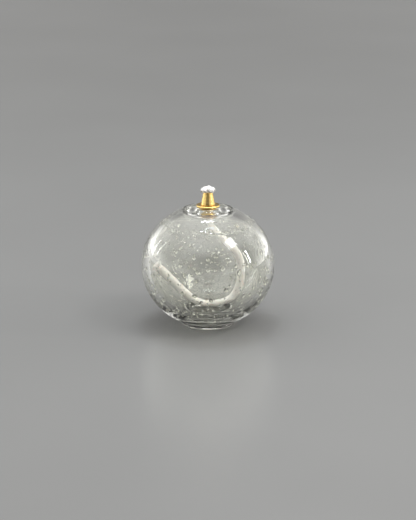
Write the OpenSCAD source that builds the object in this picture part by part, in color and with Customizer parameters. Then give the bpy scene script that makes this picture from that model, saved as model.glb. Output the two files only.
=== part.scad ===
// Hand-blown seeded glass oil lamp. A thick clear globe stands on a low foot and
// ends in a heavy glass lip. A brass burner lifts out of the lip, and carries a
// round braided wick whose tail hangs inside the globe. Millimetres, +Z up, with
// the origin at the centre of the foot's underside.

/* [Globe] */
// Outside diameter at the equator
globe_d = 110; // [108:0.5:114]
// Height of the equator above the table
equator_z = 49.2; // [48.8:0.1:49.6]
// Rise of the outer surface from the equator to where the pole would be
globe_rise = 51.4; // [51:0.1:52]
// Thickness of the wall at the equator
wall = 6; // [5:0.5:6.5]
// Depth of the cavity's curve below the equator, before its floor levels it
cavity_sag = 43; // [42:0.5:43.5]
// Height of the cavity's level floor
floor_z = 8.5; // [7:0.5:8.5]
// Height that the cavity's roof would reach on the axis
roof_z = 94.5; // [93:0.5:94.5]

/* [Lip] */
// Diameter of the throat that the burner drops into
throat_d = 13.8; // [13.4:0.1:14.6]
// Width of the lip's thick glass ring, from throat to rim
lip_w = 11; // [10:0.5:11.5]
// Height of the lip ring
lip_h = 7.6; // [7:0.2:7.8]
// Height of the lip's crest above the table
lip_top_z = 98.7; // [98.4:0.1:98.9]
// Diameter of the dip in the shoulder that the lip lies in
dip_d = 38.6; // [38:0.2:40]

/* [Foot] */
// Diameter of the foot
foot_d = 46; // [44:0.5:48]
// Thickness of the foot
foot_h = 3; // [2.6:0.1:3.2]
// Diameter of the hollow under the foot
kick_d = 32; // [20:1:34]
// Depth of the hollow under the foot
kick_h = 1.2; // [0.6:0.1:1.6]

/* [Burner] */
// Height of the flange's underside above the table
flange_z = 98.55; // [98.5:0.05:99]
// Diameter of the flange
flange_d = 19.3; // [18:0.1:20]
// Thickness of the flange
flange_h = 2; // [1.2:0.1:2.4]
// Diameter of the cone where it stands on the flange
cone_base_d = 11.9; // [11.5:0.1:13]
// Diameter of the cone's top
cone_top_d = 7.4; // [7.4:0.1:8.4]
// Height of the cone
cone_h = 10.7; // [9:0.1:12]
// Wall of the cone at its base
cone_wall = 0.6; // [0.5:0.05:0.8]
// Diameter of the collar that centres the burner in the throat
collar_d = 12.8; // [12:0.1:12.9]
// Depth of the collar below the flange
collar_h = 7.5; // [6:0.1:7.5]
// Wall of the collar
collar_wall = 0.8; // [0.5:0.1:1]
// Wall of the tube that holds the wick
tube_wall = 0.3; // [0.25:0.05:0.3]

/* [Wick] */
// Diameter of the braided wick where the burner grips it
wick_d = 6; // [5.6:0.1:6]
// Diameter of its tail, which swells once it is clear of the burner
tail_d = 6.8; // [6.2:0.1:7]
// Diameter at the tail's cut end, where the braid has loosened
loose_d = 7.8; // [7:0.1:7.8]
// Diameter of the bundle of core strands
core_d = 3.8; // [3:0.1:4.4]
// Slack between the wick and the tube's wall
wick_slack = 0.2; // [0.15:0.05:0.2]
// Diameter of the frayed tuft over the cone
tuft_d = 12.2; // [10:0.1:13]
// Height of the tuft
tuft_h = 4.9; // [4.5:0.1:6]
// Length of the frayed lower end
fray_h = 4.2; // [3:0.1:4.4]
// Diameter of the frayed lower end
fray_d = 8.4; // [7.8:0.1:8.4]

/* [Hidden] */
$fn = 96;

seat_gap = 0.15;        // running gap between pieces that move apart
braid_gap = 0.05;       // between the braid and its core
mouth_gap = 0.05;       // between the cone's mouth and the tube's bore
cut_gap = 0.1;          // between the wick's top and its tail
tube_gap = 0.02;        // between the tube and the cone's inner wall
dip_lift = 0.3;         // the dip's floor over the middle of the lip's section
dip_slope = [1.2, 1];   // width and height of the sloped rim of the dip
dip_cut = [0.5, 9];     // how far the dip's cut flares and rises above its floor
roof_hole_margin = 0.7; // the hole in the globe's roof is this much wider than the throat
tuft_belly = 0.4;       // share of the tuft's height at which it is widest
outline_steps = 20;     // straight runs in each quarter outline of the globe
lip_steps = 36;         // straight runs round the lip's section
lip_power = 2.6;        // above 2 the lip's section is squarer than an ellipse
tuft_power = 2.4;
tail_sides = 12;

globe_r = globe_d / 2;
cavity_r = globe_r - wall;
throat_r = throat_d / 2;
lip_mid_r = throat_r + lip_w / 2;
lip_mid_z = lip_top_z - lip_h / 2;
dip_r = dip_d / 2;
dip_z = lip_mid_z + dip_lift;
roof_hole_r = throat_r + roof_hole_margin;
foot_r = foot_d / 2;
foot_edge = foot_h / 2;
kick_r = kick_d / 2;

bore_r = wick_d / 2 + wick_slack;
tube_r = bore_r + tube_wall;
flange_r = flange_d / 2;
flange_edge = flange_h / 2;
cone_z = flange_z + flange_h;
cone_top_z = cone_z + cone_h;
cone_mouth_r = bore_r + mouth_gap;
cone_inner_r = cone_base_d / 2 - cone_wall;
// The tube stops where the cone's inner wall closes on it.
tube_top_z = cone_top_z
    - cone_h * (tube_r + tube_gap - cone_mouth_r) / (cone_inner_r - cone_mouth_r);
collar_z = flange_z - collar_h;

wick_r = wick_d / 2;
core_r = core_d / 2;
wick_top_z = cone_top_z + seat_gap;
// The wick is parted here, inside the burner, so that its top can rise with the burner.
wick_cut_z = 94;
tail_top_z = wick_cut_z - cut_gap;
tuft_mid_z = wick_top_z + tuft_belly * tuft_h;

// The tail's route, from inside the collar to the cut end that leans on the wall.
tail_route = [
    [0, 0, tail_top_z],
    [0, 0, 89],
    [2.5, 0.5, 83.5],
    [7, 1, 77],
    [13, 1.5, 70.5],
    [19.5, 2.5, 64.5],
    [24.5, 3, 57.5],
    [27, 3, 49.5],
    [27.3, 3, 41],
    [26.5, 2.5, 32],
    [24, 2, 24],
    [18.5, 1, 17],
    [10.5, 0.5, 13.3],
    [2, 0, 12.5],
    [-6, -0.5, 13.8],
    [-14, -1, 18.8],
    [-22, -1.5, 26.8],
    [-30, -2, 35.5],
    [-36.5, -2.5, 42],
    [-42, -3, 47.6],
];
last_gripped = 1; // the route's last point before the tail swells
first_loose = 10; // and the point from which its braid loosens towards the cut end

// The tail's radius at each of the route's points.
tail_radii = [for (i = [0:len(tail_route) - 1])
    let (looseness = max(0, i - first_loose) / (len(tail_route) - 1 - first_loose))
    i > last_gripped ? (tail_d + (loose_d - tail_d) * looseness) / 2 : wick_r];

glass = [0.86, 0.88, 0.84, 0.45];
brass = [0.80, 0.64, 0.30];
ivory = [0.90, 0.87, 0.83];

function signed_pow(v, p) = sign(v) * pow(abs(v), p);
function unit(v) = v / norm(v);

// A run of points along an oval, between two angles from its widest level.
function oval_arc(r, z, rise, from, to) =
    [for (i = [0:outline_steps])
        let (a = from + (to - from) * i / outline_steps)
        [r * cos(a), z + rise * sin(a)]];

// Half an oval on the axis, with its own rise above and below its widest level.
function half_oval(r, z, up, down, from = -90) =
    concat(oval_arc(r, z, down, from, 0), [for (p = oval_arc(r, z, up, 0, 90)) if (p.y > z) p]);

// A closed rounded section, squarer than an ellipse.
function squarish(r, z, half_w, half_h, steps, power) =
    [for (i = [0:steps - 1])
        let (a = 360 * i / steps)
        [r + half_w * signed_pow(cos(a), 2 / power), z + half_h * signed_pow(sin(a), 2 / power)]];

lip_outline = squarish(lip_mid_r, lip_mid_z, lip_w / 2, lip_h / 2, lip_steps, lip_power);

function heading(path, i) = unit(path[min(i + 1, len(path) - 1)] - path[max(i - 1, 0)]);

// The ring of points round the path's point i, square to the path there.
function ring(path, i, r, sides) =
    let (t = heading(path, i), s = unit(cross([0, 1, 0], t)), u = cross(t, s))
    [for (k = [0:sides - 1])
        let (a = 360 * k / sides)
        path[i] + r * (cos(a) * s + sin(a) * u)];

// Triangles between rings i and i + 1 of a tube whose points start at base.
function skin(rings, sides, base, outward) =
    [for (i = [0:rings - 2], k = [0:sides - 1], half = [0, 1])
        let (a = base + i * sides + k,
             b = base + i * sides + (k + 1) % sides,
             tri = half == 0 ? [a, b, a + sides] : [b, b + sides, a + sides])
        outward ? tri : [tri[0], tri[2], tri[1]]];

// A flat annular end between two rings of points.
function washer_end(outer, inner, sides, flip) =
    [for (k = [0:sides - 1], half = [0, 1])
        let (n = (k + 1) % sides,
             tri = half == 0 ? [outer + k, inner + k, outer + n] : [outer + n, inner + k, inner + n])
        flip ? [tri[0], tri[2], tri[1]] : tri];

module rod_along(path, r, sides) {
    rings = len(path);
    points = [for (i = [0:rings - 1]) each ring(path, i, r, sides)];
    first = [for (k = [sides - 1:-1:0]) k];
    last = [for (k = [0:sides - 1]) (rings - 1) * sides + k];
    polyhedron(points, concat(skin(rings, sides, 0, true), [first], [last]));
}

// A tube with an outer radius for each of its points.
module tube_along(path, r_outs, r_in, sides) {
    rings = len(path);
    inner = rings * sides;
    points = concat([for (i = [0:rings - 1]) each ring(path, i, r_outs[i], sides)],
                    [for (i = [0:rings - 1]) each ring(path, i, r_in, sides)]);
    polyhedron(points, concat(
        skin(rings, sides, 0, true),
        skin(rings, sides, inner, false),
        washer_end(0, inner, sides, false),
        washer_end(inner - sides, 2 * inner - sides, sides, true)));
}

// A disc whose edge is a full round.
module round_edged_disc(r, edge) {
    rotate_extrude() {
        square([r - edge, 2 * edge]);
        intersection() {
            translate([r - edge, edge]) circle(edge);
            translate([r - edge, 0]) square(2 * edge);
        }
    }
}

module globe() {
    base_angle = asin((foot_h - equator_z) / globe_rise);
    color(glass) rotate_extrude() difference() {
        polygon(concat([[0, foot_h]],
                       half_oval(globe_r, equator_z, globe_rise, globe_rise, base_angle)));
        intersection() {
            polygon(half_oval(cavity_r, equator_z, roof_z - equator_z, cavity_sag));
            translate([0, floor_z]) square([globe_r, 2 * globe_rise]);
        }
        // The dip in the shoulder, with a sloped rim
        polygon([[0, dip_z], [dip_r - dip_slope.x, dip_z], [dip_r, dip_z + dip_slope.y],
                 [dip_r + dip_cut.x, dip_z + dip_cut.y], [0, dip_z + dip_cut.y]]);
        polygon(lip_outline);
        translate([0, equator_z]) square([roof_hole_r, globe_rise]);
    }
}

module neck_lip() {
    color(glass) rotate_extrude() polygon(lip_outline);
}

module foot() {
    kick_steps = 8;
    kick = [for (i = [0:kick_steps])
        let (x = kick_r * i / kick_steps)
        [x, kick_h * (1 - pow(x / kick_r, 2))]];
    color(glass) difference() {
        round_edged_disc(foot_r, foot_edge);
        rotate_extrude() polygon(concat(kick, [[kick_r, -1], [0, -1]]));
    }
}

module burner_flange() {
    color(brass) translate([0, 0, flange_z]) difference() {
        round_edged_disc(flange_r, flange_edge);
        translate([0, 0, -1]) cylinder(h = flange_h + 2, r = tube_r);
    }
}

module burner_cone() {
    color(brass) translate([0, 0, cone_z]) difference() {
        cylinder(h = cone_h, d1 = cone_base_d, d2 = cone_top_d);
        cylinder(h = cone_h, r1 = cone_inner_r, r2 = cone_mouth_r);
    }
}

module burner_collar() {
    color(brass) translate([0, 0, collar_z]) difference() {
        cylinder(h = collar_h, d = collar_d);
        translate([0, 0, collar_wall]) cylinder(h = collar_h, r = collar_d / 2 - collar_wall);
        translate([0, 0, -1]) cylinder(h = 2 + collar_wall, r = tube_r);
    }
}

module wick_tube() {
    color(brass) translate([0, 0, collar_z]) difference() {
        cylinder(h = tube_top_z - collar_z, r = tube_r);
        translate([0, 0, -1]) cylinder(h = tube_top_z - collar_z + 2, r = bore_r);
    }
}

module wick_jacket() {
    length = wick_top_z - wick_cut_z;
    color(ivory) translate([0, 0, wick_cut_z]) difference() {
        cylinder(h = length, r = wick_r);
        translate([0, 0, -1]) cylinder(h = length + 2, r = core_r + braid_gap);
    }
}

module wick_core() {
    color(ivory) translate([0, 0, wick_cut_z]) cylinder(h = wick_top_z - wick_cut_z, r = core_r);
}

module wick_tuft() {
    steps = 18;
    outline = [for (i = [0:steps])
        let (a = 180 * i / steps - 90,
             rise = a < 0 ? tuft_mid_z - wick_top_z : wick_top_z + tuft_h - tuft_mid_z)
        [tuft_d / 2 * pow(max(cos(a), 0), 2 / tuft_power),
         tuft_mid_z + rise * signed_pow(sin(a), 2 / tuft_power)]];
    color(ivory) rotate_extrude() polygon(outline);
}

module tail_jacket() {
    color(ivory) tube_along(tail_route, tail_radii, core_r + braid_gap, tail_sides);
}

module tail_core() {
    color(ivory) rod_along(tail_route, core_r, tail_sides);
}

module tail_fray() {
    last = len(tail_route) - 1;
    way = heading(tail_route, last);
    color(ivory) translate(tail_route[last])
        rotate([0, acos(way.z), atan2(way.y, way.x)])
            cylinder(h = fray_h, d1 = loose_d, d2 = fray_d);
}

globe();
neck_lip();
foot();
burner_flange();
burner_cone();
burner_collar();
wick_tube();
wick_jacket();
wick_core();
wick_tuft();
tail_jacket();
tail_core();
tail_fray();
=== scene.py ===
"""Looks of the seeded glass oil lamp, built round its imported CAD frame. Everything is in metres."""

import math
import random

import bmesh
import bpy
from mathutils import Matrix, Vector, noise


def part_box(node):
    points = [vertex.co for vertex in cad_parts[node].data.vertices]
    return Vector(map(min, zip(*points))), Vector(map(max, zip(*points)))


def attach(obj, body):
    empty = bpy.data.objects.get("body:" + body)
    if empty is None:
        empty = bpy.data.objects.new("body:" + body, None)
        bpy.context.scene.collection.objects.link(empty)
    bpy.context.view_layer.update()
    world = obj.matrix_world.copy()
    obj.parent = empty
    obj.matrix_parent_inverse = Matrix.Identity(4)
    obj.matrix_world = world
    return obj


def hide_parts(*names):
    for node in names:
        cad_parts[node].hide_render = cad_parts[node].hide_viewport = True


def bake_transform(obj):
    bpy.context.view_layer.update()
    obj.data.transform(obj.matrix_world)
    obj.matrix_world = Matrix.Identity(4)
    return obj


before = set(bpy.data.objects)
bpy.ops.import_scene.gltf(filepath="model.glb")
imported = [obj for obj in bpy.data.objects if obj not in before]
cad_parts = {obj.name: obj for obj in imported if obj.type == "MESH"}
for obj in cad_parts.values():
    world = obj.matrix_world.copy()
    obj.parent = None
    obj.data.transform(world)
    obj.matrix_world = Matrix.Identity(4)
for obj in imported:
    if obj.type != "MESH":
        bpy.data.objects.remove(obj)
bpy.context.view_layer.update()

MM = 0.001
SEED = 17

# The wick's tail, with the same route points as part.scad, in metres.
TAIL_ROUTE = [
    (0, 0, 0.0939),
    (0, 0, 0.089),
    (0.0025, 0.0005, 0.0835),
    (0.007, 0.001, 0.077),
    (0.013, 0.0015, 0.0705),
    (0.0195, 0.0025, 0.0645),
    (0.0245, 0.003, 0.0575),
    (0.027, 0.003, 0.0495),
    (0.0273, 0.003, 0.041),
    (0.0265, 0.0025, 0.032),
    (0.024, 0.002, 0.024),
    (0.0185, 0.001, 0.017),
    (0.0105, 0.0005, 0.0133),
    (0.002, 0, 0.0125),
    (-0.006, -0.0005, 0.0138),
    (-0.014, -0.001, 0.0188),
    (-0.022, -0.0015, 0.0268),
    (-0.030, -0.002, 0.0355),
    (-0.0365, -0.0025, 0.042),
    (-0.042, -0.003, 0.0476),
]
WICK_D = 0.006  # where the burner grips it
TAIL_D = 0.0068  # once it has swollen, clear of the burner
LOOSE_D = 0.0078  # at its cut end, where the braid has loosened
TAIL_LENGTH = 0.1641
LOOSE_RUN = 0.0796  # length of tail before the braid starts to loosen


# ---------------------------------------------------------------- camera
def make_camera(aim_z=0.0533, distance=1.19, elevation_deg=16.5, lens=100):
    """A long lens in front of the lamp, looking along +Y and a little down."""
    data = bpy.data.cameras.new("camera")
    data.lens = lens
    data.clip_end = 50
    camera = bpy.data.objects.new("camera", data)
    bpy.context.collection.objects.link(camera)
    rise = math.radians(elevation_deg)
    camera.location = (0, -distance * math.cos(rise), aim_z + distance * math.sin(rise))
    camera.rotation_euler = (math.pi / 2 - rise, 0, 0)
    bpy.context.scene.camera = camera


make_camera()


# ---------------------------------------------------------------- mesh helpers
def new_piece(name, verts, faces, material):
    """A smooth-shaded mesh object with a material."""
    mesh = bpy.data.meshes.new(name)
    mesh.from_pydata(verts, [], faces)
    mesh.validate()
    mesh.materials.append(material)
    mesh.polygons.foreach_set("use_smooth", [True] * len(mesh.polygons))
    piece = bpy.data.objects.new(name, mesh)
    bpy.context.collection.objects.link(piece)
    return piece


def arc(cx, cz, rx, rz, start_deg, end_deg, steps):
    """Points along an elliptical arc in the (radius, height) plane."""
    points = []
    for i in range(steps + 1):
        a = math.radians(start_deg + (end_deg - start_deg) * i / steps)
        points.append((cx + rx * math.cos(a), cz + rz * math.sin(a)))
    return points


def lathe(profile, segments, place=None):
    """Spins (radius, height) points about Z. An end on the axis closes to one point, and
    other ends are joined to each other, so that a ring or a solid both come out closed."""
    verts, faces, rows = [], [], []
    for row, (r, z) in enumerate(profile):
        count = 1 if r < 1e-9 else segments
        rows.append(list(range(len(verts), len(verts) + count)))
        for k in range(count):
            a = 2 * math.pi * k / segments
            v = Vector((r * math.cos(a), r * math.sin(a), z))
            verts.append(place(v, row) if place else v)
    pairs = list(zip(rows, rows[1:]))
    if len(rows[0]) > 1 and len(rows[-1]) > 1:
        pairs.append((rows[-1], rows[0]))
    for low, high in pairs:
        for k in range(segments):
            n = (k + 1) % segments
            if len(low) == 1 and len(high) == 1:
                continue
            if len(low) == 1:
                faces.append((low[0], high[n], high[k]))
            elif len(high) == 1:
                faces.append((low[k], low[n], high[0]))
            else:
                faces.append((low[k], low[n], high[n], high[k]))
    return verts, faces


def smooth_route(points, step):
    """Catmull-Rom points through a route, about step apart."""
    p = [Vector(q) for q in points]
    p = [2 * p[0] - p[1], *p, 2 * p[-1] - p[-2]]
    path = []
    for i in range(1, len(p) - 2):
        count = max(1, round((p[i + 1] - p[i]).length / step))
        for k in range(count):
            t = k / count
            point = 2 * p[i] + (p[i + 1] - p[i - 1]) * t
            point += (2 * p[i - 1] - 5 * p[i] + 4 * p[i + 1] - p[i + 2]) * t**2
            point += (3 * p[i] - p[i - 1] - 3 * p[i + 1] + p[i + 2]) * t**3
            path.append(0.5 * point)
    path.append(p[-2])
    return path


def frames_along(path, first_side):
    """(point, side, up) along a path, turned as little as the path allows."""
    found, side = [], Vector(first_side)
    for i, point in enumerate(path):
        way = (path[min(i + 1, len(path) - 1)] - path[max(i - 1, 0)]).normalized()
        side = (side - way * side.dot(way)).normalized()
        found.append((point, side, way.cross(side)))
    return found


def tube(path, radius, sides, first_side=(1, 0, 0)):
    """A closed tube along a path. radius(i, angle, run) gives its radius at row i and an angle
    round it, where run is the length so far."""
    verts, faces, run = [], [], 0.0
    frames = frames_along(path, first_side)
    for i, (point, side, up) in enumerate(frames):
        run += (path[i] - path[i - 1]).length if i else 0.0
        for k in range(sides):
            a = 2 * math.pi * k / sides
            r = radius(i, a, run)
            verts.append(point + (side * math.cos(a) + up * math.sin(a)) * r)
    for i in range(len(path) - 1):
        for k in range(sides):
            n = (k + 1) % sides
            faces.append((i * sides + k, i * sides + n, (i + 1) * sides + n, (i + 1) * sides + k))
    faces.append(tuple(reversed(range(sides))))
    last = (len(path) - 1) * sides
    faces.append(tuple(range(last, last + sides)))
    return verts, faces


def joined(parts):
    """Several (verts, faces) as one."""
    verts, faces = [], []
    for more_verts, more_faces in parts:
        base = len(verts)
        verts += more_verts
        faces += [tuple(base + i for i in f) for f in more_faces]
    return verts, faces


# ---------------------------------------------------------------- materials
def set_stops(ramp_node, stops):
    """Gives a colour ramp its (position, colour) stops."""
    band = ramp_node.color_ramp
    while len(band.elements) < len(stops):
        band.elements.new(0.5)
    for element, (position, colour) in zip(band.elements, stops):
        element.position = position
        element.color = (*colour, 1.0)


class Nodes:
    """Short calls for a material's node tree."""

    def __init__(self, name):
        self.material = bpy.data.materials.new(name)
        self.material.use_nodes = True
        self.tree = self.material.node_tree
        self.shader = self.tree.nodes["Principled BSDF"]
        self.coords = self.add("ShaderNodeTexCoord").outputs["Object"]

    def add(self, kind, **settings):
        node = self.tree.nodes.new(kind)
        for key, value in settings.items():
            setattr(node, key, value)
        return node

    def link(self, output, target):
        self.tree.links.new(output, target)

    def scaled(self, scale):
        mapping = self.add("ShaderNodeMapping")
        mapping.inputs["Scale"].default_value = scale
        self.link(self.coords, mapping.inputs["Vector"])
        return mapping.outputs["Vector"]

    def noise(self, scale, detail=4.0, roughness=0.55, vector=None):
        node = self.add("ShaderNodeTexNoise")
        node.inputs["Scale"].default_value = scale
        node.inputs["Detail"].default_value = detail
        node.inputs["Roughness"].default_value = roughness
        self.link(vector or self.coords, node.inputs["Vector"])
        return node.outputs["Fac"]

    def ramp(self, value, stops):
        node = self.add("ShaderNodeValToRGB")
        set_stops(node, stops)
        self.link(value, node.inputs["Fac"])
        return node.outputs["Color"]

    def span(self, value, low, high):
        node = self.add("ShaderNodeMapRange")
        node.inputs["To Min"].default_value = low
        node.inputs["To Max"].default_value = high
        self.link(value, node.inputs["Value"])
        return node.outputs["Result"]

    def math(self, operation, a, b):
        node = self.add("ShaderNodeMath", operation=operation)
        for socket, value in zip(node.inputs, (a, b)):
            if isinstance(value, (int, float)):
                socket.default_value = value
            else:
                self.link(value, socket)
        return node.outputs["Value"]

    def bump(self, height, strength, distance):
        node = self.add("ShaderNodeBump")
        node.inputs["Strength"].default_value = strength
        node.inputs["Distance"].default_value = distance
        self.link(height, node.inputs["Height"])
        self.link(node.outputs["Normal"], self.shader.inputs["Normal"])


def glass_material():
    """Clear glass with a faint green-yellow tint that varies, and a slow ripple."""
    m = Nodes("blown_glass")
    m.shader.inputs["Transmission Weight"].default_value = 1.0
    m.shader.inputs["IOR"].default_value = 1.5
    m.shader.inputs["Roughness"].default_value = 0.0
    tint = m.ramp(m.noise(28, 2.0), [(0.3, (0.925, 0.930, 0.872)), (0.7, (0.962, 0.965, 0.925))])
    m.link(tint, m.shader.inputs["Base Color"])
    m.bump(m.noise(55, 2.0), 0.12, 0.0006)
    return m.material


def brass_material():
    """Turned brass: fine rings round the axis, and a little tarnish in blotches."""
    m = Nodes("turned_brass")
    m.shader.inputs["Metallic"].default_value = 1.0
    rings = m.noise(1.0, 3.0, 0.6, m.scaled((40, 40, 5200)))
    tarnish = m.noise(420, 5.0, 0.6)
    colour = m.ramp(
        tarnish,
        [(0.25, (0.46, 0.30, 0.09)), (0.5, (0.71, 0.50, 0.18)), (0.8, (0.81, 0.61, 0.26))],
    )
    m.link(colour, m.shader.inputs["Base Color"])
    rough = m.math("ADD", m.span(rings, 0.10, 0.26), m.span(tarnish, 0.0, 0.14))
    m.link(rough, m.shader.inputs["Roughness"])
    m.bump(rings, 0.25, 0.00004)
    return m.material


def wick_material(name, light, dark):
    """Matt fibre between two tones, with a soft sheen and a little light inside it."""
    m = Nodes(name)
    fibres = m.noise(2600, 6.0, 0.65)
    stains = m.noise(160, 3.0)
    mixed = m.math("ADD", m.math("MULTIPLY", fibres, 0.6), m.math("MULTIPLY", stains, 0.4))
    m.link(m.ramp(mixed, [(0.32, dark), (0.62, light)]), m.shader.inputs["Base Color"])
    m.link(m.span(fibres, 0.78, 0.98), m.shader.inputs["Roughness"])
    m.shader.inputs["Sheen Weight"].default_value = 0.35
    m.shader.inputs["Sheen Roughness"].default_value = 0.5
    m.shader.inputs["Subsurface Weight"].default_value = 0.12
    m.shader.inputs["Subsurface Radius"].default_value = (0.0008, 0.0006, 0.0005)
    m.bump(fibres, 0.5, 0.00012)
    return m.material


def floor_material():
    m = Nodes("pale_floor")
    tone = m.ramp(m.noise(2.5, 3.0), [(0.3, (0.140, 0.140, 0.138)), (0.7, (0.152, 0.152, 0.150))])
    m.link(tone, m.shader.inputs["Base Color"])
    m.shader.inputs["Roughness"].default_value = 0.3
    return m.material


GLASS = glass_material()
BRASS = brass_material()
BRAID = wick_material("wick_braid", (0.99, 0.96, 0.94), (0.88, 0.84, 0.81))
# Painted shade: the tuft's fibre is a darker copy of the wick's, to offset the strong light that falls
# on it from above.
FLUFF_PAINTED_SHADE = wick_material("wick_fluff_painted_shade", (0.76, 0.75, 0.74), (0.54, 0.52, 0.50))
# Painted light: the cut end's fibre is a lighter copy of the wick's, to cancel the shade its crowded
# strands cast on each other.
FRAY_PAINTED_LIGHT = wick_material("wick_fray_painted_light", (0.99, 0.98, 0.97), (0.92, 0.90, 0.88))


# ---------------------------------------------------------------- wick
TAIL_STEP = 0.00035
BRAID_SIDES = 40
BRAID_STRANDS = 8  # strands that run each way round the braid
BRAID_PITCH = 0.011  # length in which a strand goes once round
BRAID_RELIEF = 0.00022
SWELL_START = 0.003  # length of tail that the burner still grips
SWELL_RUN = 0.004  # length over which it then swells
STRAND_PARTS = 4
# How many loose fibres the tail, its cut end, the tuft and the tuft's drooping side have.
TAIL_FUZZ = 900
FRAY_STRANDS = 620
TUFT_FUZZ = 1100
DROOPING_STRANDS = 26
BARE_ROWS = 10  # rows at the tail's top, inside the burner, that have none


def braid_height(angle, run):
    """From 0 to 1: two families of strands that wind opposite ways and pass over and under."""
    turn = 2 * math.pi * run / BRAID_PITCH
    right = BRAID_STRANDS * (angle + turn) / 2
    left = BRAID_STRANDS * (angle - turn) / 2
    over = math.sin(right + left) * 0.5 + 0.5
    strand_right = abs(math.cos(right)) ** 0.6
    strand_left = abs(math.cos(left)) ** 0.6
    return strand_right * over + strand_left * (1 - over)


def braided(path, radius, lumps, swell=None):
    """A braided tube with slow lumps, made thicker along its length by swell(run)."""

    def at(i, angle, run):
        r = radius - BRAID_RELIEF * (1 - braid_height(angle, run))
        r += lumps * (noise.noise(path[i] * 220 + Vector((math.cos(angle), math.sin(angle), 0))) - 0.3)
        return r * (swell(run) if swell else 1.0)

    return tube(path, at, BRAID_SIDES)


def strand(start, way, length, thickness, rng, curl=0.35):
    """A thin three-sided fibre that wanders from start."""
    point, heading, path = Vector(start), Vector(way).normalized(), [Vector(start)]
    for _ in range(STRAND_PARTS):
        wander = Vector([rng.uniform(-1, 1) for _ in range(3)]) * curl
        heading = (heading + wander).normalized()
        point = point + heading * (length / STRAND_PARTS)
        path.append(point)
    side = Vector((0.31, 0.77, 0.55))
    return tube(path, lambda i, a, run: thickness * (1 - 0.6 * i / STRAND_PARTS), 3, side)


def swollen(run):
    """How much thicker the tail is at a length from its top than where the burner grips it."""
    out_of_burner = min(max((run - SWELL_START) / SWELL_RUN, 0), 1)
    loosened = min(max((run - LOOSE_RUN) / (TAIL_LENGTH - LOOSE_RUN), 0), 1)
    return (WICK_D + (TAIL_D - WICK_D) * out_of_burner + (LOOSE_D - TAIL_D) * loosened) / WICK_D


def make_tail():
    """The braid from the burner down to its cut end, with loose fibres on it."""
    rng = random.Random(SEED)
    path = smooth_route(TAIL_ROUTE, TAIL_STEP)
    body = braided(path, WICK_D / 2, 0.0001, swollen)
    frames = frames_along(path, (1, 0, 0))
    fuzz = []
    for _ in range(TAIL_FUZZ):
        point, side, up = frames[rng.randrange(BARE_ROWS, len(frames))]
        a = rng.uniform(0, 2 * math.pi)
        out = side * math.cos(a) + up * math.sin(a)
        root = point + out * (WICK_D / 2 - 0.0002)
        way = out * 0.5 + Vector([rng.uniform(-1, 1) for _ in range(3)])
        fuzz.append(strand(root, way, rng.uniform(0.0006, 0.0014), 0.00003, rng))
    verts, faces = joined([body, *fuzz])
    tail = new_piece("wick_tail", verts, faces, BRAID)
    return tail, path


def make_fray(path):
    """The cut lower end, where the braid has come undone into a soft tassel."""
    rng = random.Random(SEED + 1)
    end = path[-1]
    way = (path[-1] - path[-6]).normalized()
    side = way.cross(Vector((0, 1, 0))).normalized()
    up = way.cross(side)
    turn = Matrix((side, up, way)).transposed()

    def place(v, row):
        spot = turn @ v + end
        ridge = noise.noise(spot * 420) * 0.0005 + noise.noise(spot * 1300) * 0.0002
        shrink = 1 + (ridge - 0.0003) / (LOOSE_D / 2)
        return turn @ Vector((v.x * shrink, v.y * shrink, v.z * shrink)) + end

    profile = [(0, -0.0016), (0.0030, -0.0014)]
    profile += arc(0.0026, 0.0027, 0.0015, 0.0015, -30, 90, 8)
    profile += [(0, 0.0042)]
    parts = [lathe(profile, 48, place)]
    for _ in range(FRAY_STRANDS):
        a, r = rng.uniform(0, 2 * math.pi), LOOSE_D / 2 * math.sqrt(rng.random()) * 0.92
        out = side * math.cos(a) + up * math.sin(a)
        root = end + out * r
        heading = way + out * (0.2 * r / (LOOSE_D / 2))
        parts.append(strand(root, heading, rng.uniform(0.0026, 0.0040), 0.00012, rng, curl=0.25))
    verts, faces = joined(parts)
    # The tassel's material has painted light: lighter than the braid, against the shade between its
    # strands.
    return new_piece("wick_fray", verts, faces, FRAY_PAINTED_LIGHT)


tail, tail_path = make_tail()
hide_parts("tail_jacket", "tail_core")
fray = make_fray(tail_path)
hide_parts("tail_fray")
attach(fray, "globe")
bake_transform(tail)


def make_tip():
    """The straight stretch of the wick inside the burner."""
    low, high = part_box("wick_jacket")
    count = round((high[2] - low[2]) / TAIL_STEP)
    path = [Vector((0, 0, low[2] + (high[2] - low[2]) * i / count)) for i in range(count + 1)]
    verts, faces = braided(path, WICK_D / 2, 0.00005)
    tip = new_piece("wick_tip", verts, faces, BRAID)
    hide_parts("wick_jacket", "wick_core")
    return tip


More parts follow.
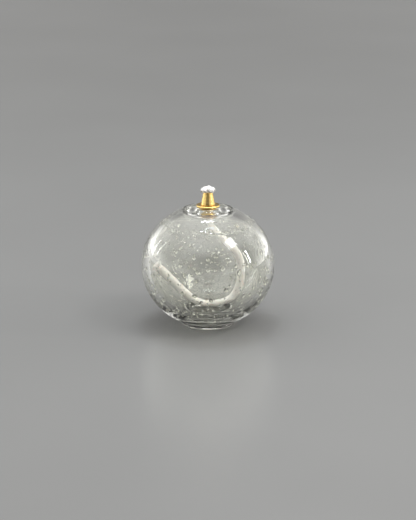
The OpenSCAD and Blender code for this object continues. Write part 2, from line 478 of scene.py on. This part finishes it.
def make_tuft():
    """The frayed top: a lumpy cloud of fibres that mushrooms over the cone."""
    low, high = (Vector(c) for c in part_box("wick_tuft"))
    rng = random.Random(SEED + 2)
    bm = bmesh.new()
    lumps = [  # centre x, y, height over the tuft's base, radius, in millimetres
        (0.7, 0.3, 2.7, 2.1),
        (-0.6, -1.2, 2.2, 1.9),
        (-2.9, 0.2, 1.9, 1.9),
        (-4.3, -0.4, 1.2, 1.6),
        (3.2, -0.2, 1.8, 2.0),
        (4.4, 0.4, 1.4, 1.5),
        (1.8, -2.4, 1.5, 2.0),
        (1.2, 2.9, 1.6, 2.1),
        (-1.9, 2.9, 1.5, 1.9),
        (3.3, 2.6, 1.3, 1.7),
        (3.2, -2.6, 1.2, 1.6),
        (-2.4, -2.8, 1.3, 1.9),
        (-3.8, 2.2, 1.0, 1.5),
    ]
    for x, y, z, r in lumps:
        centre = Vector((x, y, z)) * MM + Vector((0, 0, low.z))
        bmesh.ops.create_icosphere(bm, subdivisions=3, radius=r * MM, matrix=Matrix.Translation(centre))
    mesh = bpy.data.meshes.new("tuft_core")
    bm.to_mesh(mesh)
    bm.free()
    core = bpy.data.objects.new("tuft_core", mesh)
    bpy.context.collection.objects.link(core)
    remesh = core.modifiers.new("one_skin", "REMESH")
    remesh.mode = "VOXEL"
    remesh.voxel_size = 0.0003
    soften = core.modifiers.new("soften", "SMOOTH")
    soften.iterations = 4
    depsgraph = bpy.context.evaluated_depsgraph_get()
    skin = bpy.data.meshes.new_from_object(core.evaluated_get(depsgraph))
    bpy.data.objects.remove(core)
    skin_verts, skin_normals = [], []
    for v in skin.vertices:
        h = noise.noise(v.co * 900) * 0.00035 + noise.noise(v.co * 2600) * 0.00016
        skin_verts.append(v.co + v.normal * h)
        skin_normals.append(v.normal.copy())
    faces = [tuple(p.vertices) for p in skin.polygons]
    parts = [(skin_verts, faces)]
    for _ in range(TUFT_FUZZ):
        i = rng.randrange(len(skin_verts))
        n = skin_normals[i]
        if n.z < -0.75:
            continue
        way = n * 0.7 + Vector([rng.uniform(-1, 1) for _ in range(3)]) * 0.9
        root = skin_verts[i] - n * 0.0002
        parts.append(strand(root, way, rng.uniform(0.0005, 0.0013), 0.00004, rng))
    for _ in range(DROOPING_STRANDS):
        root = Vector((-0.0050, rng.uniform(-0.0008, 0.0004), low.z + 0.0014))
        way = Vector((-0.35, rng.uniform(-0.2, 0.2), -0.9))
        parts.append(strand(root, way, rng.uniform(0.0018, 0.0030), 0.00016, rng, curl=0.2))
    verts, faces = joined(parts)
    clipped = []
    for v in verts:
        v = Vector(v)
        v.z = min(v.z, high.z)
        reach = math.hypot(v.x, v.y)
        if reach > high.x:
            v.x, v.y = v.x * high.x / reach, v.y * high.x / reach
        clipped.append(v)
    # The tuft's material has painted shade: darker than the braid, against the strong light from above.
    tuft = new_piece("wick_tuft_fluff", clipped, faces, FLUFF_PAINTED_SHADE)
    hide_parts("wick_tuft")
    return tuft


for piece in (make_tip(), make_tuft()):
    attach(piece, "wick")


# ---------------------------------------------------------------- glass
GLASS_SEGMENTS = 132
EQUATOR_Z = 0.0492
GLOBE_R = 0.05495
GLOBE_RISE = 0.0514  # from the equator to where the globe's curve would close
FOOT_TOP_Z = 0.0044
CREST_R = 0.0209  # where the shoulder dips to the lip
CAVITY_R = 0.0491
CAVITY_UP = 0.0453
CAVITY_SAG = 0.0433
CAVITY_SHIFT = 0.0006  # how far the cavity sits to the right
THROAT_R = 0.0196  # where the cavity's roof meets the throat's underside
FLOOR_Z = 0.0071
FLOOR_BLEND = 0.0045  # how softly the cavity's wall turns into its floor
SEAM_Z = 0.0865  # where the outer, seeded gather of glass ends below the neck
SEAM_STEP = 0.0009  # how far the surface steps in there
SEAM_WIDTH = 0.0006  # height over which it does so
SEAM_ARC = 4  # degrees each way of the seam that get finer rows
ROWS_OVER_LIP = 38  # rows of the inside, over the lip and throat, that move as the outside does


def outer_at(z):
    """Radius of the globe's outer surface at a height."""
    s = (z - EQUATOR_Z) / GLOBE_RISE
    return GLOBE_R * math.sqrt(max(0.0, 1 - s * s))


def cavity_at(z):
    """Radius of the cavity at a height."""
    s = (z - EQUATOR_Z) / (CAVITY_UP if z > EQUATOR_Z else CAVITY_SAG)
    return CAVITY_R * math.sqrt(max(0.0, 1 - s * s))


def outside_profile():
    """From the axis under the foot, up the outside to the lip's notch."""
    foot = [(0, 0.0012), (0.006, 0.00105), (0.011, 0.0006), (0.0150, 0.00015), (0.0165, 0.0)]
    foot += arc(0.0214, 0.0015, 0.0016, 0.0015, -90, 80, 7)
    foot += [(0.0211, 0.0031), (0.0212, 0.0036)]
    low, seam = (
        math.degrees(math.asin((z - EQUATOR_Z) / GLOBE_RISE)) for z in (FOOT_TOP_Z, SEAM_Z)
    )
    crest = math.degrees(math.acos(CREST_R / GLOBE_R))
    globe = (0, EQUATOR_Z, GLOBE_R, GLOBE_RISE)
    shell = arc(*globe, low, seam - SEAM_ARC, 46)
    shell += arc(*globe, seam - SEAM_ARC, seam + SEAM_ARC, 16)[1:]
    shell += arc(*globe, seam + SEAM_ARC, crest, 10)[1:]
    dip = [(0.0202, 0.09705), (0.0196, 0.0968), (0.0190, 0.0962), (0.0185, 0.0953)]
    dip += [(0.0181, 0.0943)]
    return foot + shell + dip


def inside_profile():
    """Over the lip, down the throat and round the cavity to the middle of its floor."""
    lip = arc(0.0124, 0.0949, 0.0055, 0.0038, -8, 188, 26)
    throat = [(0.0071, 0.0932), (0.0075, 0.0920), (0.0085, 0.0911)]
    under = arc(0.0128, 0.0949, 0.0053, 0.0046, 220, 328, 12)
    roof_start = math.degrees(math.acos(THROAT_R / CAVITY_R))
    roof = arc(0, EQUATOR_Z, CAVITY_R, CAVITY_UP, roof_start, 0, 36)
    floor = []
    for r, z in arc(0, EQUATOR_Z, CAVITY_R, CAVITY_SAG, 0, -90, 40)[1:]:
        over = z - FLOOR_Z
        floor.append((max(r, 0.0), FLOOR_Z + (over + math.hypot(over, FLOOR_BLEND)) / 2))
    return lip + throat + under + roof + floor


def hand_blown_inside(v):
    """Slow unevenness, and a cavity that sits a little to the right of the globe's axis."""
    r = math.hypot(v.x, v.y)
    share = max(0.0, 1 - abs(v.z - EQUATOR_Z) / 0.042)
    v = v + Vector((CAVITY_SHIFT * share, 0, 0))
    wave = noise.noise(v * 38) * 0.00022 + noise.noise(v * 110) * 0.00004
    return v * (1 + wave / max(r, 0.02) * min(1, r / 0.02))


def hand_blown_outside(v):
    """Slow unevenness, and the wavy step where the seeded gather ends."""
    above_foot = min(1, max(0, v.z - 0.004) / 0.01)
    wave = abs(noise.noise(v * 30 + Vector((5, 0, 0)))) * 0.00010 * above_foot
    over = v.z - seam_at(math.atan2(v.y, v.x))
    past_seam = min(max(over / SEAM_WIDTH + 0.5, 0), 1)
    below_lip = min(max((0.0955 - v.z) / 0.004, 0), 1)
    inwards = 1 - (wave + SEAM_STEP * past_seam * below_lip) / GLOBE_R
    return Vector((v.x * inwards, v.y * inwards, v.z))


def seam_at(a):
    """Height of the seeded gather's edge, which wanders as it goes round."""
    wander = noise.noise(Vector((math.cos(a), math.sin(a), 0)) * 2.2)
    ragged = noise.noise(Vector((math.cos(a), math.sin(a), 4)) * 9)
    return SEAM_Z + 0.0014 * wander + 0.0006 * ragged


def bubble(kind, centre, radii, turn):
    """A void in the glass: a ball with its faces turned inwards."""
    verts, faces = kind
    placed = []
    for v in verts:
        placed.append(turn @ Vector((v[0] * radii[0], v[1] * radii[1], v[2] * radii[2])) + centre)
    return placed, [tuple(reversed(f)) for f in faces]


def ball(subdivisions):
    """A unit icosphere's points and faces."""
    bm = bmesh.new()
    bmesh.ops.create_icosphere(bm, subdivisions=subdivisions, radius=1.0)
    verts = [v.co.copy() for v in bm.verts]
    index = {v: i for i, v in enumerate(bm.verts)}
    faces = [tuple(index[v] for v in f.verts) for f in bm.faces]
    bm.free()
    return verts, faces


def in_glass(a, z, size, rng):
    """A place in the wall for a bubble of a size, or None where the wall is too thin for it."""
    outer, inner = outer_at(z) - 0.0007, cavity_at(z) + 0.0008
    if z < FLOOR_Z + 0.001:
        inner = 0.0
    room = outer - inner - 1.5 * size
    if room <= 0:
        return None
    r = inner + 0.75 * size + room * rng.random() ** DEPTH_POWER
    return Vector((r * math.cos(a), r * math.sin(a), z))


def in_clear_patch(centre):
    """The clear glass on the far side, low in the middle and high up, which the seeds leave free."""
    across, up = centre.x / 0.0185, (centre.z - 0.0175) / 0.0105
    low_patch = centre.y > 0 and across * across + up * up < 1
    return low_patch or (centre.y > 0.01 and centre.z > 0.080)


DEPTH_POWER = 1.3  # over 1 crowds the seeds towards the cavity
SEEDS = [  # how many, ball subdivisions, least and most size, lowest and highest, most stretch
    (1100, 1, 0.00018, 0.00034, 0.009, 0.0865, 0.8),
    (900, 1, 0.00020, 0.00042, 0.0840, 0.0890, 0.6),
    (380, 1, 0.00034, 0.00045, 0.010, 0.0870, 0.7),
    (340, 2, 0.0005, 0.0007, 0.010, 0.0870, 0.7),
    (290, 2, 0.0007, 0.0012, 0.012, 0.0865, 0.6),
    (60, 3, 0.0012, 0.0019, 0.016, 0.080, 0.5),
]
FOAM_COUNT = 400  # bubbles that crowd at the seam
FOAM_FINE = 0.00045  # size from which a foam bubble gets a finer ball
LONG_BUBBLE_DEPTH = 0.0021  # from the outer surface to its middle
LONG_BUBBLES = [  # degrees round from the right, height, half its length and width, lean in degrees
    (-47, 0.0881, 0.0040, 0.0019, 38),
    (-66, 0.0856, 0.0024, 0.0017, -60),
    (-118, 0.0748, 0.0022, 0.0014, 20),
    (-31, 0.0648, 0.0036, 0.0008, 25),
    (-36, 0.0678, 0.0042, 0.0007, 30),
    (70, 0.0708, 0.0034, 0.0016, -35),
    (150, 0.0588, 0.0026, 0.0015, 15),
]


def seed_bubbles():
    """Bubbles between the cavity and the outer surface, thickest under the seam below the neck."""
    rng = random.Random(SEED + 3)
    balls = {subdivisions: ball(subdivisions) for subdivisions in (1, 2, 3)}
    found = []

    def add(subdivisions, centre, radii, lean):
        out = Vector((centre.x, centre.y, (centre.z - EQUATOR_Z) * 1.1)).normalized()
        along = out.cross(Vector((0, 0, 1))).normalized()
        up = out.cross(along)
        long_way = up * math.cos(lean) + along * math.sin(lean)
        turn = Matrix((out, out.cross(long_way), long_way)).transposed()
        found.append(bubble(balls[subdivisions], centre, radii, turn))

    def place(subdivisions, size, z_low, z_high, stretch):
        a = rng.uniform(0, 2 * math.pi)
        z = min(rng.uniform(z_low, z_high), seam_at(a) - size)
        centre = in_glass(a, z, size, rng)
        if centre is None or in_clear_patch(centre):
            return
        pull = 1 + rng.random() * stretch
        add(subdivisions, centre, (size * 0.6, size, size * pull), rng.uniform(-0.5, 0.5))

    for count, subdivisions, least, most, z_low, z_high, stretch in SEEDS:
        for _ in range(count):
            place(subdivisions, rng.uniform(least, most), z_low, z_high, stretch)
    for _ in range(FOAM_COUNT):
        a = rng.uniform(0, 2 * math.pi)
        size = rng.uniform(0.00032, 0.00068)
        z = seam_at(a) - size - 0.0012 * rng.random() ** 2
        r = outer_at(z) - 0.0009 - 0.0012 * rng.random()
        centre = Vector((r * math.cos(a), r * math.sin(a), z))
        add(1 if size < FOAM_FINE else 2, centre, (size * 0.7, size, size), 0.0)
    for degrees, z, half_length, half_width, lean in LONG_BUBBLES:
        a, r = math.radians(degrees), outer_at(z) - LONG_BUBBLE_DEPTH
        centre = Vector((r * math.cos(a), r * math.sin(a), z))
        add(3, centre, (0.6 * half_width, half_width, half_length), math.radians(lean))
    return found


def make_glass():
    """Globe, lip and foot as one body of glass, with its bubbles as voids."""
    outside, inside = outside_profile(), inside_profile()
    first_of_cavity = len(outside) + ROWS_OVER_LIP

    def place(v, row):
        return hand_blown_inside(v) if row >= first_of_cavity else hand_blown_outside(v)

    verts, faces = lathe(outside + inside, GLASS_SEGMENTS, place)
    verts, faces = joined([(verts, faces), *seed_bubbles()])
    glass = new_piece("glass_body", verts, faces, GLASS)
    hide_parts("globe", "neck_lip", "foot")
    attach(glass, "globe")


make_glass()


# ---------------------------------------------------------------- brass
BRASS_SEGMENTS = 96


def brass_piece(name, profile, node):
    """A turned piece of the burner, in place of a CAD node."""
    verts, faces = lathe(profile, BRASS_SEGMENTS)
    piece = new_piece(name, verts, faces, BRASS)
    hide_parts(node)
    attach(piece, "burner")


def make_flange():
    """A flat disc with a round edge and a shallow step on top."""
    low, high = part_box("burner_flange")
    r, bottom, top = high[0], low[2], high[2]
    edge = (top - bottom) / 2
    sunk = top - 0.00022
    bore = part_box("wick_tube")[1][0]
    profile = [(bore, bottom), (r - edge, bottom)]
    profile += arc(r - edge, bottom + edge, edge, edge, -80, 80, 10)
    profile += [(r - edge, top), (r - edge - 0.0004, top - 0.0001), (r - edge - 0.0010, sunk)]
    profile += [(0.0062, sunk), (0.0056, top - 0.0001), (bore, top - 0.0001)]
    brass_piece("burner_flange_turned", profile, "burner_flange")


def make_cone():
    """A hollow cone with a rounded rim, round the wick."""
    low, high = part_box("burner_cone")
    base_r, bottom, top = high[0], low[2] - 0.0001, high[2]
    top_r, mouth_r, wall = 0.0037, 0.00325, 0.0006
    lean = (base_r - top_r) / (top - bottom)
    fillet = 0.00035
    profile = [(base_r - wall, bottom), (base_r - 0.0001, bottom), (base_r, bottom + 0.0001)]
    rows = 24
    for i in range(1, rows):
        z = bottom + 0.0003 + (top - fillet - bottom - 0.0003) * i / rows
        profile.append((base_r - lean * (z - bottom), z))
    profile += [(top_r + 0.00006, top - fillet), (top_r, top - 0.00012), (top_r - 0.00012, top)]
    profile += [(mouth_r + 0.0001, top), (mouth_r, top - 0.0001)]
    brass_piece("burner_cone_spun", profile, "burner_cone")


def make_collar_and_tube():
    """The pressed cup that centres the burner, and the thin tube round the wick."""
    low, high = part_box("burner_collar")
    r, bottom, top = high[0], low[2], high[2]
    wall, corner = 0.0008, 0.0006
    tube_low, tube_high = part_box("wick_tube")
    tube_r, bore = tube_high[0], tube_high[0] - 0.0003
    collar = [(tube_r, bottom), (r - corner, bottom)]
    collar += arc(r - corner, bottom + corner, corner, corner, -70, 0, 5)
    collar += [(r, top), (r - wall, top), (r - wall, bottom + wall), (tube_r, bottom + wall)]
    brass_piece("burner_collar_pressed", collar, "burner_collar")
    pipe = [(bore, tube_low[2]), (tube_r, tube_low[2])]
    pipe += [(tube_r, tube_high[2]), (bore, tube_high[2])]
    brass_piece("wick_tube_drawn", pipe, "wick_tube")


make_flange()
make_cone()
make_collar_and_tube()


# ---------------------------------------------------------------- stage
MIDDLE = (0, 0, 0.05)  # what the lights aim at
# How bright the room is at a share of the way from level to straight up.
HEIGHT_LEVELS = [(0.0, 1.3), (0.15, 0.9), (0.35, 0.6), (0.6, 0.95), (0.95, 2.1)]
SCREENS = [  # share of a turn, from the front by way of the left, and how bright the room is there
    (0.0, 0.5), (0.03, 0.25), (0.08, 0.3), (0.13, 1.3), (0.23, 1.3), (0.28, 2.6),
    (0.37, 2.4), (0.43, 0.5), (0.5, 0.3), (0.57, 0.5), (0.63, 2.4), (0.71, 2.6),
    (0.74, 0.7), (0.77, 0.6), (0.80, 1.4), (0.92, 1.3), (0.95, 0.2),
]
ABOVE_SCREENS = 1.4


def make_stage():
    half = 6.0
    corners = [(-half, -half, 0), (half, -half, 0), (half, half, 0), (-half, half, 0)]
    mesh = bpy.data.meshes.new("floor")
    mesh.from_pydata(corners, [], [(0, 1, 2, 3)])
    mesh.materials.append(floor_material())
    floor = bpy.data.objects.new("floor", mesh)
    bpy.context.collection.objects.link(floor)


def soft_light(name, place, width, height, watts, colour):
    """A rectangular light aimed at the middle of the lamp."""
    data = bpy.data.lights.new(name, "AREA")
    data.shape = "RECTANGLE"
    data.size, data.size_y = width, height
    data.energy = watts
    data.color = colour
    lamp = bpy.data.objects.new(name, data)
    bpy.context.collection.objects.link(lamp)
    lamp.location = place
    lamp.rotation_euler = (Vector(MIDDLE) - Vector(place)).to_track_quat("-Z", "Y").to_euler()


def make_lights():
    """Three strips that draw highlights on the glass, and a box that lights the wick."""
    soft_light("top_strip", (-0.02, 0.25, 1.25), 0.36, 0.06, 5, (0.85, 0.93, 1.0))
    soft_light("left_strip", (-0.95, 0.45, 0.35), 0.03, 0.45, 0.6, (0.95, 0.975, 1.0))
    soft_light("right_strip", (0.95, -0.2, 0.38), 0.04, 0.36, 3.2, (1.0, 0.985, 0.96))
    soft_light("wick_box", (0.63, -0.32, 0.93), 0.28, 0.28, 4.0, (1.0, 0.99, 0.97))


def brightness_ramp(nodes, levels):
    """A colour ramp of greys, from (position, brightness) pairs."""
    node = nodes.new("ShaderNodeValToRGB")
    set_stops(node, [(position, (light, light, light)) for position, light in levels])
    return node


def make_world():
    """A room that is bright overhead and at the sides, and dark in front of the lamp and behind
    it, so that the glass has bright edges and a clear middle and the brass mirrors stripes."""
    world = bpy.data.worlds.new("studio")
    world.use_nodes = True
    nodes, links = world.node_tree.nodes, world.node_tree.links
    split = nodes.new("ShaderNodeSeparateXYZ")
    links.new(nodes.new("ShaderNodeTexCoord").outputs["Generated"], split.inputs["Vector"])
    height = brightness_ramp(nodes, HEIGHT_LEVELS)
    links.new(split.outputs["Z"], height.inputs["Fac"])
    azimuth = nodes.new("ShaderNodeMath")
    azimuth.operation = "ARCTAN2"
    links.new(split.outputs["X"], azimuth.inputs[0])
    links.new(split.outputs["Y"], azimuth.inputs[1])
    turn = nodes.new("ShaderNodeMapRange")
    turn.inputs["From Min"].default_value = -math.pi
    turn.inputs["From Max"].default_value = math.pi
    links.new(azimuth.outputs["Value"], turn.inputs["Value"])
    screens = brightness_ramp(nodes, SCREENS)
    links.new(turn.outputs["Result"], screens.inputs["Fac"])
    overhead = nodes.new("ShaderNodeMapRange")
    overhead.interpolation_type = "SMOOTHSTEP"
    overhead.inputs["From Min"].default_value = 0.5
    overhead.inputs["From Max"].default_value = 0.75
    links.new(split.outputs["Z"], overhead.inputs["Value"])
    lit = nodes.new("ShaderNodeMixRGB")
    lit.inputs["Color2"].default_value = (ABOVE_SCREENS, ABOVE_SCREENS, ABOVE_SCREENS, 1)
    links.new(overhead.outputs["Result"], lit.inputs["Fac"])
    links.new(screens.outputs["Color"], lit.inputs["Color1"])
    shaded = nodes.new("ShaderNodeMath")
    shaded.operation = "MULTIPLY"
    links.new(height.outputs["Color"], shaded.inputs[0])
    links.new(lit.outputs["Color"], shaded.inputs[1])
    background = nodes["Background"]
    background.inputs["Color"].default_value = (1.0, 0.995, 0.985, 1)
    links.new(shaded.outputs["Value"], background.inputs["Strength"])
    bpy.context.scene.world = world


def set_light_paths():
    """Glass with bubbles in it needs many bounces. Colours are shown as they are."""
    cycles = bpy.context.scene.cycles
    cycles.max_bounces = 32
    cycles.transmission_bounces = 32
    cycles.glossy_bounces = 8
    bpy.context.scene.view_settings.view_transform = "Standard"


make_stage()
make_lights()
make_world()
set_light_paths()
